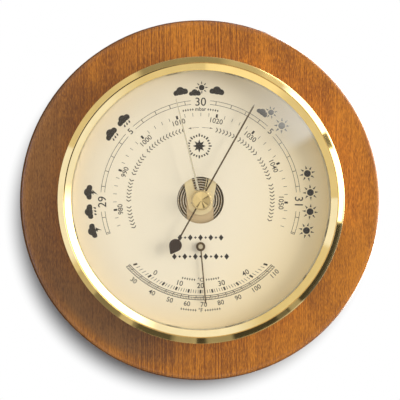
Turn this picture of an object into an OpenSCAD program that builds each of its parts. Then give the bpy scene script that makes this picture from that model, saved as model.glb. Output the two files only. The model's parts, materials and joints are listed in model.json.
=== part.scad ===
// Round wall barometer with a thermometer, on a turned wooden base.
// Lengths are millimetres. The origin is the middle of the wood's flat back,
// the front faces -Y and +Z is up.
// Each piece is drawn lying on a bench: x to the right, y up the dial and
// z rising from the wall to the viewer. on_wall() then stands it up.

/* [Wood base] */
// Diameter of the round wooden base
wood_d = 203.2; // [190:0.2:260]
// Thickness of the wooden base
wood_t = 22; // [20.5:0.5:32]
// Radius of the rounded front edge
edge_round = 2.2; // [0.8:0.1:5]
// Chamfer of the back edge
back_chamfer = 0.8; // [0.3:0.1:3]
// Radius of the hole that lets a screwdriver reach the adjusting screw
access_r = 5; // [4.2:0.1:7]
// Radius of the keyhole's round mouth
keyhole_r = 4.5; // [3.6:0.1:6.5]
// Width of the keyhole's slot, for the neck of the wall screw
keyhole_slot = 4; // [3:0.1:5]
// Length of the keyhole's slot from the centre of its mouth
keyhole_run = 9; // [6:0.5:12]
// Wood left over the keyhole's undercut, behind which the screw head hooks
keyhole_lip = 3; // [2:0.1:5]
// Depth of the keyhole's undercut
keyhole_undercut = 4; // [3:0.1:6]

/* [Bezel and glass] */
// Radius of the bezel's opening, at its inner lip
window_r = 73.2; // [70:0.1:80]
// Width of the bevel that slopes down to the glass
bevel_w = 4.3; // [3:0.1:6]
// Width of the bezel's outer bevel, which slopes back to its upright side
flank_w = 3.4; // [2.5:0.1:6]
// Slope of the outer bevel from the plane of the dial
flank_slope = 31; // [20:1:45]
// Thickness of the spun bezel
bezel_wall = 1; // [0.6:0.05:1.4]
// Height of the bezel's crest over the glass
crest_rise = 3.6; // [2:0.1:6]
// Thickness of the glass
glass_t = 2; // [1.5:0.1:3]
// How far the glass reaches under the bezel
glass_lap = 1.8; // [1:0.1:2.4]
// Height of the spacer ring that holds the glass over the dial
spacer_h = 7.8; // [7.6:0.1:12]
// Wall of the spacer ring
spacer_wall = 1.1; // [0.6:0.1:2]
// How far the spacer ring shows inside the bezel's lip
spacer_show = 0.8; // [0.1:0.1:1.5]

/* [Case and dial] */
// Thickness of the pressed sheet of the case
sheet_t = 0.8; // [0.5:0.05:1.2]
// Outer radius of the case's cup
cup_r = 69.8; // [60:0.1:70.5]
// Height of the rim that the bezel snaps over
rim_h = 3.4; // [2:0.1:5]
// Bend radius at the bottom of the cup
cup_round = 2.5; // [1:0.1:5]
// Thickness of the dial plate
dial_t = 0.8; // [0.5:0.05:1.4]
// Radius of the hole in the dial that shows the movement
dial_hole_r = 13.2; // [11:0.1:15]
// Distance of the thermometer's pivot below the middle of the dial
thermo_drop = 26.2; // [25:0.1:30]

/* [Hands] */
// Length of the pressure pointer from its axis
pointer_len = 62; // [45:0.5:68]
// Width of the pressure pointer's rod
pointer_w = 0.9; // [0.6:0.05:1.5]
// Distance of the pointer's counterweight disc from the axis
tail_at = 29.2; // [24:0.1:34]
// Radius of the counterweight disc
tail_r = 3.6; // [2.5:0.1:5]
// Distance of the tail's point from the axis
tail_len = 34.8; // [33:0.1:42]
// Angle of the pressure pointer, clockwise from straight up
pointer_at = 29.3; // [-100:0.1:100]
// Height of the pressure pointer over the dial
pointer_lift = 5; // [4:0.1:5.4]
// Thickness of the flat hands
hand_t = 0.4; // [0.3:0.05:0.5]
// Length of the set hand from its axis
set_len = 59; // [40:0.5:66]
// Width of the set hand at its hub
set_w = 1.35; // [1:0.05:2.4]
// Width of the set hand at its tip
set_tip_w = 0.5; // [0.3:0.05:0.9]
// Angle of the set hand, clockwise from straight up
set_at = -13.8; // [-180:0.1:180]
// Length of the thermometer's hand from its pivot
thermo_len = 33; // [24:0.5:40]
// Width of the thermometer's hand
thermo_w = 0.7; // [0.4:0.05:1.2]
// Angle of the thermometer's hand, clockwise from straight up
thermo_at = 174.9; // [105:0.1:255]
// Height of the thermometer's hand over the dial
thermo_lift = 1.6; // [1:0.1:2.2]

/* [Set knob] */
// Radius of the set knob
knob_r = 5.6; // [4.5:0.1:8]
// Height of the set knob over the glass
knob_h = 6.2; // [4.5:0.1:10]
// Radius of the pin that joins the knob to the set hand
set_pin_r = 1.2; // [0.8:0.05:1.5]

/* [Aneroid capsule] */
// Radius of the corrugated capsule
capsule_r = 18; // [14.5:0.1:18.6]
// Height of the capsule
capsule_h = 4; // [3.2:0.1:5]
// Distance from one corrugation to the next
ripple_pitch = 1.47; // [1.2:0.01:2.4]
// Height of a corrugation
ripple_h = 0.55; // [0.2:0.05:0.8]
// Height of the post between the capsule and the spring
post_h = 1.2; // [0.8:0.1:2]

/* [Main spring] */
// Width of the spring's leaf
leaf_w = 15.2; // [12:0.1:18]
// Thickness of the spring's leaf
leaf_t = 0.7; // [0.5:0.05:1]
// Distance of the spring's bend below the axis
bend_at = 27; // [25.5:0.1:30]
// Length of the lever beyond the axis
lever_len = 18; // [16.5:0.1:18.4]
// Width of the lever
lever_w = 1.6; // [1.2:0.1:2]
// Thickness of the lever
lever_t = 0.6; // [0.4:0.05:0.8]

/* [Rocker and chain] */
// Distance of the rocker shaft above the axis
rocker_at = 20; // [19.6:0.1:21]
// Radius of the rocker shaft
rocker_r = 0.8; // [0.6:0.05:1]
// Height of the rocker shaft over the base plate
rocker_lift = 2; // [1.8:0.1:3]
// Effective radius of the chain drum
drum_r = 1.2; // [1:0.05:1.5]
// Distance from one chain rivet to the next
link_pitch = 1.2; // [1:0.05:1.6]
// Width of a chain link
link_w = 0.5; // [0.4:0.05:0.6]

/* [Bridge and base plate] */
// Width of the base plate
plate_w = 46; // [42:0.5:56]
// Thickness of the base plate
plate_t = 1; // [0.8:0.1:1.6]
// Height of the spacers under the base plate
standoff = 1.6; // [1.4:0.1:2.4]
// Thickness of the fork bridge
bridge_t = 1; // [0.8:0.1:1.5]
// Half width of the fork across its corners
fork_half = 6.57; // [6.2:0.01:8]
// Radius of the fork's round end
fork_end_r = 7.8; // [7:0.1:10]
// Slope of the fork's arms, outwards for each millimetre upwards
fork_slope = 0.18; // [0.1:0.01:0.24]
// Half width of the bottom of the slot in the fork
slot_half = 3.2; // [2.6:0.1:3.8]
// Distance of the slot's bottom above the axis
slot_at = 5.45; // [4.8:0.05:6.5]
// Distance of the bridge pillars above the axis
pillar_at = 24.5; // [24.2:0.1:26]
// Radius of the bridge pillars
pillar_r = 1.9; // [1.4:0.1:2]
// Gap between the fork bridge and the dial
dial_gap = 2.6; // [2.2:0.1:4]

/* [Thermometer works] */
// Outer radius of the bimetal coil
coil_r = 9; // [7:0.1:10]
// Turns of the bimetal coil
coil_turns = 6; // [3:1:6]
// Width of the bimetal strip
strip_w = 3; // [2:0.1:3.2]
// Thickness of the bimetal strip
strip_t = 0.35; // [0.2:0.05:0.4]
// Thickness of the thermometer's bracket
bracket_t = 0.6; // [0.5:0.05:1]

/* [Hidden] */
$fn = 96;

// Clearances: a running fit, a seat between curved faces, and a loose fit
run_gap = 0.05;
seat_gap = 0.3;
loose_gap = 0.5;
// Overshoot of a cut past the face that it opens
cut = 1;
// How far one form of a piece sinks into the next, so that they join
sink = 0.1;

// Radii of the spun parts
wood_r = wood_d / 2;
crest_r = window_r + bevel_w;
bezel_r = crest_r + flank_w;
glass_r = window_r + glass_lap;
pocket_r = cup_r + loose_gap;

// Heights of the movement, from the case floor up to the dial
drum_flange_t = 0.2;
drum_h = 1.2;
hairspring_h = 0.3;
cock_gap = 1;
cock_t = 0.6;
works_gap = 0.3;
works_h = works_gap + drum_h + works_gap + hairspring_h + 2 * works_gap;
stud_h = 0.6;
movement_h = standoff + plate_t + stud_h + capsule_h + post_h + leaf_t
    + cock_gap + cock_t + works_h + bridge_t;
z_face = wood_t;
z_dial = z_face + sheet_t;
z_floor = z_dial - dial_gap - movement_h;
z_under = z_floor - sheet_t;
z_plate = z_floor + standoff;
z_plate_top = z_plate + plate_t;
z_capsule = z_plate_top + stud_h;
z_capsule_top = z_capsule + capsule_h;
z_leaf = z_capsule_top + post_h;
z_leaf_top = z_leaf + leaf_t;
z_cock = z_leaf_top + cock_gap;
z_cock_top = z_cock + cock_t;
z_drum = z_cock_top + works_gap;
z_drum_top = z_drum + drum_h;
z_hairspring = z_drum_top + works_gap;
z_bridge = z_cock_top + works_h;
z_bridge_top = z_bridge + bridge_t;
z_chain = (z_drum + z_drum_top) / 2;
z_rocker = z_plate_top + rocker_lift;

// Heights of the hands and the glass, over the dial
z_dial_top = z_dial + dial_t;
z_thermo = z_dial_top + thermo_lift;
z_pointer = z_dial_top + pointer_lift;
z_glass = z_dial_top + spacer_h;
z_glass_top = z_glass + glass_t;
z_crest = z_glass_top + crest_rise;
z_knob_top = z_glass_top + knob_h;
z_pin_top = z_glass_top + knob_h / 2;
washer_t = 0.3;
z_set = z_glass - run_gap - washer_t - hand_t - run_gap;

// Where the bezel's upright side meets its outer bevel
z_shoulder = z_crest - flank_w * tan(flank_slope);
rim_r = bezel_r - bezel_wall - seat_gap;
rim_in = rim_r - sheet_t;
dial_r = rim_in - seat_gap;
spacer_in = window_r - spacer_show;

// Points on an arc, with the angle in degrees from +x
function arc(centre, r, from, to, steps) = [
    for (i = [0 : steps])
        let (a = from + (to - from) * i / steps)
        centre + r * [cos(a), sin(a)]
];
// The points of a list in the opposite order
function reversed(points) = [
    for (i = [len(points) - 1 : -1 : 0]) points[i]
];
// A flat spiral that winds out anticlockwise
function spiral(r_in, r_out, turns, steps) = [
    for (i = [0 : turns * steps])
        let (part = i / (turns * steps), r = r_in + (r_out - r_in) * part)
        r * [cos(360 * turns * part), sin(360 * turns * part)]
];
// The outline of a strip of one thickness along such a spiral
function strip(r_in, r_out, turns, steps, t) = concat(
    spiral(r_in + t / 2, r_out + t / 2, turns, steps),
    reversed(spiral(r_in - t / 2, r_out - t / 2, turns, steps))
);
// The least clear gap between the turns of a strip, measured on its points
function least_gap(points, steps, t) = min([
    for (i = [0 : len(points) - 1 - steps / 2])
        for (j = [i + steps / 2 : len(points) - 1])
            norm(points[i] - points[j])
]) - t;

// Stands a piece that was drawn on the bench up against the wall
module on_wall() rotate([90, 0, 0]) children();
// Turns a piece clockwise by an angle, seen from the front
module clockwise(angle) rotate([0, 0, -angle]) children();
module disc(r, z0, z1) translate([0, 0, z0]) cylinder(h = z1 - z0, r = r);
module ring(r_out, r_in, z0, z1) difference() {
    disc(r_out, z0, z1);
    disc(r_in, z0 - cut, z1 + cut);
}
// A cheese-head screw: head up, its underside at z_seat, with a slot
screw_head = 1.9;
module slotted_screw(shank_r, z_seat, z_tip) difference() {
    head_r = screw_head * shank_r;
    slot_w = head_r / 3;
    union() {
        disc(head_r, z_seat, z_seat + shank_r);
        disc(shank_r, z_tip, z_seat + shank_r / 2);
    }
    translate([-head_r - cut, -slot_w / 2, z_seat + shank_r / 2])
        cube([2 * (head_r + cut), slot_w, shank_r]);
}

// Wooden base, with its pocket for the case and the keyhole on its back
round_steps = 8;
keyhole_at = (wood_r + pocket_r) / 2 - keyhole_run / 4;
case_screw_at = 45;
case_screw_r = 1.4;
case_screw_len = min(3.8, z_under - 1);
case_screw_tip = 0.2;
adjust_at = bend_at;

module at_case_screws()
    for (a = [90, 210, 330]) rotate([0, 0, a]) translate([case_screw_at, 0, 0]) children();

module keyhole() translate([0, keyhole_at, 0]) {
    disc(keyhole_r, -cut, keyhole_lip + keyhole_undercut);
    translate([-keyhole_slot / 2, 0, -cut])
        cube([keyhole_slot, keyhole_run, keyhole_lip + 2 * cut]);
    translate([0, keyhole_run, 0])
        disc(keyhole_slot / 2, -cut, keyhole_lip + cut);
    translate([-keyhole_r, 0, keyhole_lip])
        cube([2 * keyhole_r, keyhole_run, keyhole_undercut]);
    translate([0, keyhole_run, 0])
        disc(keyhole_r, keyhole_lip, keyhole_lip + keyhole_undercut);
}

module wood_base() color("peru") on_wall() difference() {
    rotate_extrude() polygon(concat(
        [[0, 0], [wood_r - back_chamfer, 0], [wood_r, back_chamfer]],
        arc([wood_r - edge_round, wood_t - edge_round], edge_round, 0, 90, round_steps),
        [[0, wood_t]]
    ));
    disc(pocket_r, z_under, wood_t + cut);
    at_adjuster() disc(access_r, -cut, z_under + cut);
    at_case_screws() disc(case_screw_r + run_gap, z_under - case_screw_len, z_under + cut);
    keyhole();
}

// Pressed case: a cup in the pocket, a flange on the wood and an upright rim
module case_pan() color("burlywood") on_wall() difference() {
    rotate_extrude() polygon(concat(
        [[0, z_under]],
        arc([cup_r - cup_round, z_under + cup_round], cup_round, -90, 0, round_steps),
        [[cup_r, z_face], [rim_r, z_face], [rim_r, z_face + rim_h]],
        [[rim_in, z_face + rim_h], [rim_in, z_dial], [cup_r - sheet_t, z_dial]],
        arc([cup_r - cup_round, z_under + cup_round], cup_round - sheet_t, 0, -90, round_steps),
        [[0, z_floor]]
    ));
    at_adjuster() disc(access_r - 1, z_under - cut, z_floor + cut);
    at_case_screws() disc(case_screw_r + run_gap, z_under - cut, z_floor + cut);
    at_plate_corners() disc(base_screw_r + run_gap, z_under - cut, z_floor + cut);
}

module case_screws() color("silver") on_wall() at_case_screws()
    slotted_screw(case_screw_r, z_floor, z_under - case_screw_len + case_screw_tip);

// Spun brass bezel: an upright side, an outer bevel, a crest and an inner bevel
crest_flat = 0.3;
shoulder_round = 0.5;
lip_t = 0.3;
side_in = bezel_r - bezel_wall;
crest_in = z_crest - 1.3 * bezel_wall;

module bezel() color("gold") on_wall() rotate_extrude() polygon(concat(
    [[side_in, z_face], [bezel_r, z_face]],
    arc([bezel_r - shoulder_round, z_shoulder - shoulder_round / 2], shoulder_round,
        0, 90 - flank_slope, 4),
    [[crest_r, z_crest], [crest_r - crest_flat, z_crest]],
    [[window_r, z_glass_top + lip_t], [window_r, z_glass_top]],
    [[glass_r + seat_gap, z_glass_top], [crest_r - crest_flat / 2, crest_in]],
    [[side_in, z_shoulder - bezel_wall]]
));

glass_bore_gap = 0.08;

module glass() color("lightcyan", 0.3) on_wall()
    ring(glass_r, set_pin_r + glass_bore_gap, z_glass, z_glass_top);

// Spacer ring: a foot on the dial inside the case's rim, and a wall under the glass
spacer_foot = 0.7;

module spacer_ring() color("darkgoldenrod") on_wall() rotate_extrude() polygon([
    [spacer_in, z_dial_top],
    [dial_r, z_dial_top],
    [dial_r, z_dial_top + spacer_foot],
    [spacer_in + spacer_wall, z_dial_top + spacer_foot],
    [spacer_in + spacer_wall, z_glass],
    [spacer_in, z_glass]
]);

module dial_plate() color("cornsilk") on_wall() difference() {
    ring(dial_r, dial_hole_r, z_dial, z_dial_top);
    at_thermo() disc(thermo_arbor_r + seat_gap, z_dial - cut, z_dial_top + cut);
    at_thermo() at_rivets() disc(rivet_r + run_gap, z_dial - cut, z_dial_top - rivet_cover);
}

// Base plate of the movement, held off the case floor by four spacers
plate_round = 5;
plate_top = pillar_at + pillar_r + 2;
plate_foot = -(bend_at + 6.5);
base_screw_r = 1.2;
base_spacer_r = 2.5;
corner_inset = 4.5;
spring_screw_x = 4.5;
spring_screw_y = -(capsule_r + 4.6);
pillar_screw_r = 0.9;
fork_y = -4.7;
pillar_x = (fork_x(pillar_at) + slot_x(pillar_at)) / 2;
function fork_x(y) = fork_half + fork_slope * (y - fork_y);
function slot_x(y) = slot_half + 0.26 * (y - slot_at);

module at_plate_corners()
    for (side = [-1, 1], y = [plate_foot + corner_inset, plate_top - corner_inset])
        translate([side * (plate_w / 2 - corner_inset), y, 0]) children();

module at_spring_screws()
    for (side = [-1, 1]) translate([side * spring_screw_x, spring_screw_y, 0]) children();

module at_adjuster() translate([0, -adjust_at, 0]) children();

module movement_base() color("tan") on_wall() difference() {
    translate([0, 0, z_plate]) linear_extrude(plate_t) polygon(concat(
        arc([plate_w / 2 - plate_round, plate_top - plate_round], plate_round, 0, 90, 8),
        arc([plate_round - plate_w / 2, plate_top - plate_round], plate_round, 90, 180, 8),
        arc([plate_round - plate_w / 2, plate_foot + plate_round], plate_round, 180, 270, 8),
        arc([plate_w / 2 - plate_round, plate_foot + plate_round], plate_round, 270, 360, 8)
    ));
    at_plate_corners() disc(base_screw_r + run_gap, z_plate - cut, z_plate_top + cut);
    disc(capsule_stud_r + run_gap, z_plate - cut, z_plate_top + cut);
    at_adjuster() disc(adjust_r + 3 * run_gap, z_plate - cut, z_plate_top + cut);
    at_spring_screws() disc(spring_screw_r + run_gap, z_plate - cut, z_plate_top + cut);
}

module base_spacers() color("darkgoldenrod") on_wall()
    at_plate_corners() ring(base_spacer_r, base_screw_r + run_gap, z_floor, z_plate);

module base_screws() color("silver") on_wall()
    at_plate_corners() slotted_screw(base_screw_r, z_plate_top, z_under + sink);

// Aneroid capsule: two corrugated diaphragms joined at a flat rim, with a stud below
capsule_stud_r = 1.5;
capsule_hub_r = 2.4;
capsule_foot_r = 3;
capsule_post_r = 1.6;
capsule_rim_w = 1.3;
capsule_rim_t = 0.8;
capsule_land = 0.4;
capsule_step = 0.2;
nut_h = min(1.2, standoff - 0.2);
ripple_span = capsule_r - capsule_rim_w - capsule_hub_r - 2 * capsule_land;
ripple_count = floor(ripple_span / ripple_pitch);
ripple_steps = 6;
function ripple(i) =
    let (s = i / ripple_steps)
    [capsule_hub_r + capsule_land + s * ripple_pitch, -ripple_h * (1 - cos(360 * s)) / 2];
capsule_mid = z_capsule + capsule_h / 2;
capsule_upper = concat(
    [[capsule_hub_r, z_capsule_top]],
    [for (i = [0 : ripple_count * ripple_steps])
        [ripple(i)[0], z_capsule_top - capsule_step + ripple(i)[1]]],
    [[capsule_r - capsule_rim_w, capsule_mid + capsule_rim_t / 2]],
    [[capsule_r, capsule_mid + capsule_rim_t / 2]]
);

module capsule() color("gray") on_wall() union() {
    rotate_extrude() polygon(concat(
        [[0, z_capsule_top]],
        capsule_upper,
        reversed([for (p = capsule_upper) [p[0], 2 * capsule_mid - p[1]]]),
        [[0, z_capsule]]
    ));
    disc(capsule_foot_r, z_plate_top, z_capsule + sink);
    disc(capsule_stud_r, z_plate - nut_h - sink, z_capsule + sink);
}

module capsule_nut() color("goldenrod") on_wall() difference() {
    translate([0, 0, z_plate - nut_h]) cylinder(h = nut_h, r = 2 * capsule_stud_r, $fn = 6);
    disc(capsule_stud_r + run_gap, z_plate - nut_h - cut, z_plate + cut);
}

module capsule_post() color("goldenrod") on_wall()
    disc(capsule_post_r, z_capsule_top, z_leaf);

// Adjusting screw, reached from the back, in a bush under the base plate
adjust_r = 1.5;
adjust_head_r = min(2.8, access_r - 1.3);
adjust_head_h = sheet_t + 0.3;
adjust_slot = 0.8;
adjust_slot_deep = 0.5;
z_adjust = z_under - 0.2;
bush_h = 0.8;
bush_r = 3.2;

module adjust_bush() color("goldenrod") on_wall() at_adjuster() difference() {
    translate([0, 0, z_plate - bush_h]) cylinder(h = bush_h, r = bush_r, $fn = 6);
    disc(adjust_r + run_gap, z_plate - bush_h - cut, z_plate + cut);
}

module adjusting_screw() color("silver") on_wall() at_adjuster() difference() {
    union() {
        disc(adjust_head_r, z_adjust, z_adjust + adjust_head_h);
        disc(adjust_r, z_under, z_plate_top - run_gap);
    }
    translate([-adjust_head_r - cut, -adjust_slot / 2, z_adjust - cut])
        cube([2 * (adjust_head_r + cut), adjust_slot, adjust_slot_deep + cut]);
}

// Main spring: a leaf bent round into a C, its foot screwed to the base plate
spring_screw_r = 1;
bend_r = (z_leaf_top - z_plate_top) / 2;
bend_z = z_plate_top + bend_r;
foot_end = -(capsule_r + 1.2);
tongue_r = 4;
shoulder_y = -4;

module spring_side() polygon(concat(
    [[foot_end, z_plate_top]],
    arc([-bend_at, bend_z], bend_r, 270, 90, 16),
    [[tongue_r, z_leaf_top], [tongue_r, z_leaf]],
    arc([-bend_at, bend_z], bend_r - leaf_t, 90, 270, 16),
    [[foot_end, z_plate_top + leaf_t]]
));

module main_spring() color("tan") on_wall() difference() {
    intersection() {
        translate([-leaf_w / 2, 0, 0]) rotate([90, 0, 90]) linear_extrude(leaf_w) spring_side();
        translate([0, 0, z_plate]) linear_extrude(z_leaf_top - z_plate + cut) polygon(concat(
            [[leaf_w / 2, -bend_at - bend_r - cut], [leaf_w / 2, shoulder_y]],
            arc([0, 0], tongue_r, 0, 180, 12),
            [[-leaf_w / 2, shoulder_y], [-leaf_w / 2, -bend_at - bend_r - cut]]
        ));
    }
    at_spring_screws() disc(spring_screw_r + run_gap, z_plate, z_plate_top + leaf_t + cut);
}

module spring_screws() color("silver") on_wall() at_spring_screws()
    slotted_screw(spring_screw_r, z_plate_top + leaf_t, z_plate + sink);

// Lever on the spring's leaf, and the link that it carries down to the rocker
lever_root = [-6.6, -9];
lever_tip = [-7.6, lever_len];
link_t = 0.6;
link_w_half = 0.9;
crank_pin_r = 0.25;
crank_x = lever_tip[0];
z_link = z_rocker - 0.75;

module spring_lever() color("silver") on_wall() translate([0, 0, z_leaf_top])
    linear_extrude(lever_t) polygon(concat(
        arc(lever_tip, lever_w / 2, 0, 180, 8),
        [[lever_root[0] - lever_w / 2, lever_root[1]]],
        [[lever_root[0] + lever_w / 2, lever_root[1]]]
    ));

module lever_link() color("silver") on_wall() difference() {
    translate([crank_x - link_t / 2, lever_len - link_w_half, z_link])
        cube([link_t, 2 * link_w_half, z_leaf_top - z_link]);
    translate([crank_x, lever_len, z_rocker]) rotate([0, 90, 0])
        cylinder(h = link_t + 2 * cut, r = crank_pin_r + seat_gap, center = true);
}

// Rocker: a shaft in two ears, a short crank to the lever and an arm to the chain
ear_t = 0.8;
ear_w = 3;
ear_x = [-11.6, 8.2];
ear_h = rocker_lift + rocker_r + 0.8;
strap_t = 0.6;
strap_y = [rocker_at - 1, rocker_at + 1.5];
arm_x = 5.8;
arm_t = 0.8;
arm_w = 1.6;
crank_w = 1.2;
crank_arm_x = -9.4;
shaft_end = 0.6;
rocker_ends = [ear_x[0] - shaft_end, ear_x[1] + ear_t + shaft_end];

module along_x(x0, x1, y, z, r) translate([x0, y, z]) rotate([0, 90, 0])
    cylinder(h = x1 - x0, r = r);

module rocker_bracket() color("goldenrod") on_wall() difference() {
    union() {
        translate([ear_x[0], strap_y[0], z_plate_top])
            cube([ear_x[1] + ear_t - ear_x[0], strap_y[1] - strap_y[0], strap_t]);
        for (x = ear_x) translate([x, rocker_at - ear_w / 2, z_plate_top])
            cube([ear_t, ear_w, ear_h]);
    }
    along_x(ear_x[0] - cut, ear_x[1] + ear_t + cut, rocker_at, z_rocker, rocker_r + run_gap);
}

module rocker_shaft() color("silver") on_wall() union() {
    along_x(rocker_ends[0], rocker_ends[1], rocker_at, z_rocker, rocker_r);
    translate([arm_x, rocker_at - arm_w / 2, z_rocker])
        cube([arm_t, arm_w, z_chain - z_rocker + arm_w / 2]);
    translate([crank_arm_x, lever_len - crank_w / 2, z_rocker - crank_w / 2])
        cube([arm_t, rocker_at - lever_len + crank_w / 2, crank_w]);
    along_x(crank_arm_x + arm_t / 2, crank_x + link_t, lever_len, z_rocker, crank_pin_r);
}

// Chain from the drum to the rocker's arm: single plates between pairs
plate_link_t = 0.12;
rivet_half = 0.22;
chain_start = [drum_r + link_w / 2 + run_gap, 0.3];
chain_end = [arm_x - seat_gap - link_w / 2, rocker_at];
chain_span = norm(chain_end - chain_start);
chain_links = floor(chain_span / link_pitch);
chain_turn = atan2(chain_end[1] - chain_start[1], chain_end[0] - chain_start[0]);

module link_plate(x, z) translate([x, 0, z]) linear_extrude(plate_link_t) polygon(concat(
    arc([0, 0], link_w / 2, 90, 270, 4),
    arc([link_pitch, 0], link_w / 2, -90, 90, 4)
));

module link_chain() color("dimgray") on_wall()
    translate([chain_start[0], chain_start[1], z_chain]) rotate([0, 0, chain_turn]) union() {
        for (i = [0 : chain_links - 1]) {
            if (i % 2 == 0) link_plate(i * link_pitch, -plate_link_t / 2);
            else for (side = [-1, 1]) link_plate(i * link_pitch, (side - 0.5) * plate_link_t);
        }
        for (i = [0 : chain_links]) translate([i * link_pitch, 0, 0])
            disc(link_w / 4, -rivet_half, rivet_half);
    }

// Fork bridge on two pillars, with the arbor's upper bearing in its round end
arm_top = pillar_at + pillar_r + 0.4;
fork_end_a = acos(fork_half / fork_end_r);
fork_end_y = fork_y + fork_end_r * sin(fork_end_a);
slot_round = 0.6;
slot_steps = 6;
bridge_screw_len = 3;

module at_pillars() for (side = [-1, 1]) translate([side * pillar_x, pillar_at, 0]) children();

module bridge_pillars() color("goldenrod") on_wall()
    at_pillars() ring(pillar_r, pillar_screw_r + run_gap, z_plate_top, z_bridge);

module bridge_fork() color("goldenrod") on_wall() difference() {
    translate([0, 0, z_bridge]) linear_extrude(bridge_t) polygon(concat(
        [[fork_x(arm_top), arm_top], [slot_x(arm_top), arm_top]],
        [for (i = [0 : slot_steps])
            let (a = 180 * i / slot_steps)
            [slot_half * cos(a), slot_at + slot_round * (1 - sin(a))]],
        [[-slot_x(arm_top), arm_top], [-fork_x(arm_top), arm_top]],
        arc([0, fork_end_y], fork_end_r, 180 + fork_end_a, 360 - fork_end_a, 16)
    ));
    disc(arbor_r + run_gap, z_bridge - cut, z_bridge_top + cut);
    at_pillars() disc(pillar_screw_r + run_gap, z_bridge - cut, z_bridge_top + cut);
    at_cock_posts() disc(cock_pin_r + run_gap, z_bridge - cut, z_bridge_top + cut);
}

module bridge_screws() color("silver") on_wall()
    at_pillars() slotted_screw(pillar_screw_r, z_bridge_top, z_bridge - bridge_screw_len);

// Lower cock, hung under the fork by two posts, with the arbor's lower bearing
post_x = 4.7;
post_y = -1.5;
post_r = 0.8;
cock_end_r = 0.9;
cock_pin_r = 0.5;
cock_boss_r = 1.6;
pivot_r = 0.35;

module at_cock_posts()
    for (side = [-1, 1]) translate([side * post_x, post_y, 0]) children();

module lower_cock() color("goldenrod") on_wall() difference() {
    translate([0, 0, z_cock]) linear_extrude(cock_t) polygon(concat(
        arc([post_x, post_y], cock_end_r, -90, 90, 8),
        arc([0, 0], cock_boss_r, 30, 150, 8),
        arc([-post_x, post_y], cock_end_r, 90, 270, 8)
    ));
    disc(pivot_r + run_gap, z_cock - cut, z_cock_top + cut);
    at_cock_posts() disc(cock_pin_r + run_gap, z_cock - cut, z_cock_top + cut);
}

module cock_posts() color("silver") on_wall() at_cock_posts() union() {
    disc(post_r, z_cock_top, z_bridge);
    disc(cock_pin_r, z_cock, z_bridge_top);
}

// Arbor with its drum, collet and hub: the shaft that carries the pointer
arbor_r = 0.6;
arbor_rise = 0.5;
z_arbor_top = z_pointer + hand_t + arbor_rise;
drum_flange_r = drum_r + 0.5;
press_gap = 0.01;

module arbor() color("silver") on_wall() union() {
    disc(pivot_r, z_cock, z_drum);
    disc(arbor_r, z_cock_top + works_gap / 3, z_arbor_top);
}

module drum() color("goldenrod") on_wall() difference() {
    union() {
        disc(drum_r, z_drum, z_drum_top);
        disc(drum_flange_r, z_drum, z_drum + drum_flange_t);
        disc(drum_flange_r, z_drum_top - drum_flange_t, z_drum_top);
    }
    disc(arbor_r + press_gap, z_drum - cut, z_drum_top + cut);
}

// Hairspring: a flat spiral from the collet on the arbor to a stud on the fork
hair_in = 1.4;
hair_out = 3.5;
hair_turns = 3;
hair_t = 0.15;
hair_stud_r = 0.45;
hair_stud_y = -0.6;
spiral_steps = 24;
echo("hairspring, least gap to itself in mm", least_gap(
    spiral(hair_in, hair_out, hair_turns, spiral_steps), spiral_steps, hair_t));

module hair_strip(t, z0, h) translate([0, 0, z0]) linear_extrude(h)
    polygon(strip(hair_in, hair_out, hair_turns, spiral_steps, t));

module hairspring() color("silver") on_wall() hair_strip(hair_t, z_hairspring, hairspring_h);

module hairspring_collet() color("goldenrod") on_wall() ring(
    hair_in - hair_t / 2 - run_gap, arbor_r + press_gap,
    z_drum_top, z_hairspring + hairspring_h + sink
);

module hairspring_stud() color("goldenrod") on_wall() difference() {
    translate([hair_out, hair_stud_y, 0]) disc(hair_stud_r, z_hairspring - sink, z_bridge);
    hair_strip(hair_t + 2 * run_gap, z_hairspring - cut, hairspring_h + cut + run_gap);
}

// Pressure pointer: a thin rod with a disc and a point as its counterweight
pointer_hub_r = 1.7;
pointer_hub_h = 1.4;

module pointer_hub() color("black") on_wall()
    ring(pointer_hub_r, arbor_r + press_gap, z_pointer - pointer_hub_h, z_pointer);

module pressure_pointer() color("black") on_wall() clockwise(pointer_at)
    translate([0, 0, z_pointer]) linear_extrude(hand_t) difference() {
        union() {
            polygon([
                [-pointer_w / 2, -tail_at], [pointer_w / 2, -tail_at],
                [pointer_w / 2, pointer_len - 2 * pointer_w],
                [0, pointer_len],
                [-pointer_w / 2, pointer_len - 2 * pointer_w]
            ]);
            polygon(concat(
                arc([0, -tail_at], tail_r, -35, 215, 24),
                [[-0.35 * pointer_w, -tail_len], [0.35 * pointer_w, -tail_len]]
            ));
            circle(pointer_hub_r);
        }
        circle(arbor_r + press_gap);
    }

// Set hand under the glass, turned by the knob through a pin
set_hub_r = 2.4;
washer_r = 2.8;

module set_hand() color("khaki") on_wall() clockwise(set_at) translate([0, 0, z_set])
    linear_extrude(hand_t) difference() {
        union() {
            circle(set_hub_r);
            polygon([
                [-set_w / 2, 0], [set_w / 2, 0],
                [set_tip_w / 2, set_len - set_tip_w],
                [0, set_len],
                [-set_tip_w / 2, set_len - set_tip_w]
            ]);
        }
        circle(set_pin_r + press_gap);
    }

module set_pin() color("goldenrod") on_wall()
    disc(set_pin_r, z_set - sink, z_pin_top);

module set_washers() color("white") on_wall() {
    ring(washer_r, set_pin_r + run_gap, z_glass - run_gap - washer_t, z_glass - run_gap);
    ring(washer_r, set_pin_r + run_gap, z_glass_top + run_gap, z_glass_top + run_gap + washer_t);
}

// Turned brass knob with a hollow cone in its face and a waist at its foot
knob_dish = 1.5;
knob_round = 0.5;
knob_waist_r = 0.62 * knob_r;
knob_waist_h = 0.2 * knob_h;
knob_skirt_h = 0.42 * knob_h;
knob_floor_r = 0.4;
z_knob = z_glass_top + 2 * run_gap + washer_t;

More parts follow.
